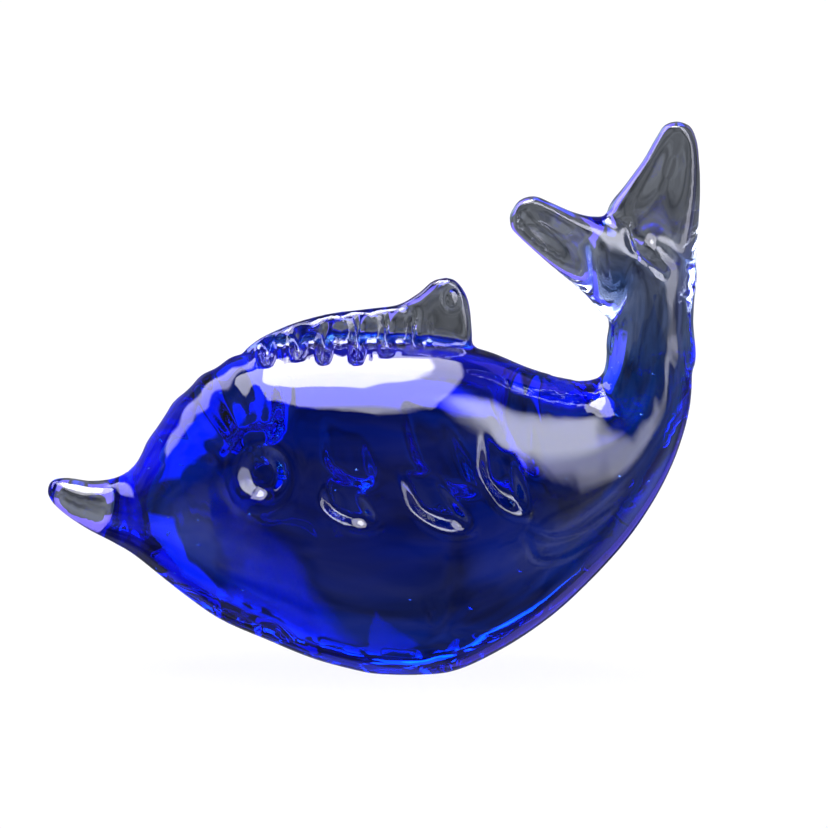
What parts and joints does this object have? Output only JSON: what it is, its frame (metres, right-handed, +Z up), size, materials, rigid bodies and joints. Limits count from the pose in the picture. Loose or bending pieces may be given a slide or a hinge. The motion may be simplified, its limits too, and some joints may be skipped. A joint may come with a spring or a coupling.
{
  "type": "glass fish figurine",
  "caption": "Solid hand-worked glass fish with a cased blue core, crimped clear dorsal fin and an upturned forked tail, resting on a ground flat.",
  "frame": {"origin": "under the middle of the bounding box, on the surface that the ground foot rests on", "axes": "+X from the snout to the tail, +Z up, the fish's left side faces -Y"},
  "size_m": [0.1508, 0.0556, 0.1276],
  "materials": {
    "crystal": "clear fire-polished glass, very slightly blue-grey",
    "cobalt": "deep transparent cobalt-blue glass"
  },
  "bodies": {
    "root": {"cobalt_core": "cobalt", "crystal_casing": "crystal", "dorsal_fin": "crystal", "tail_fluke_front": "crystal", "tail_fluke_rear": "crystal"}
  },
  "joints": []
}
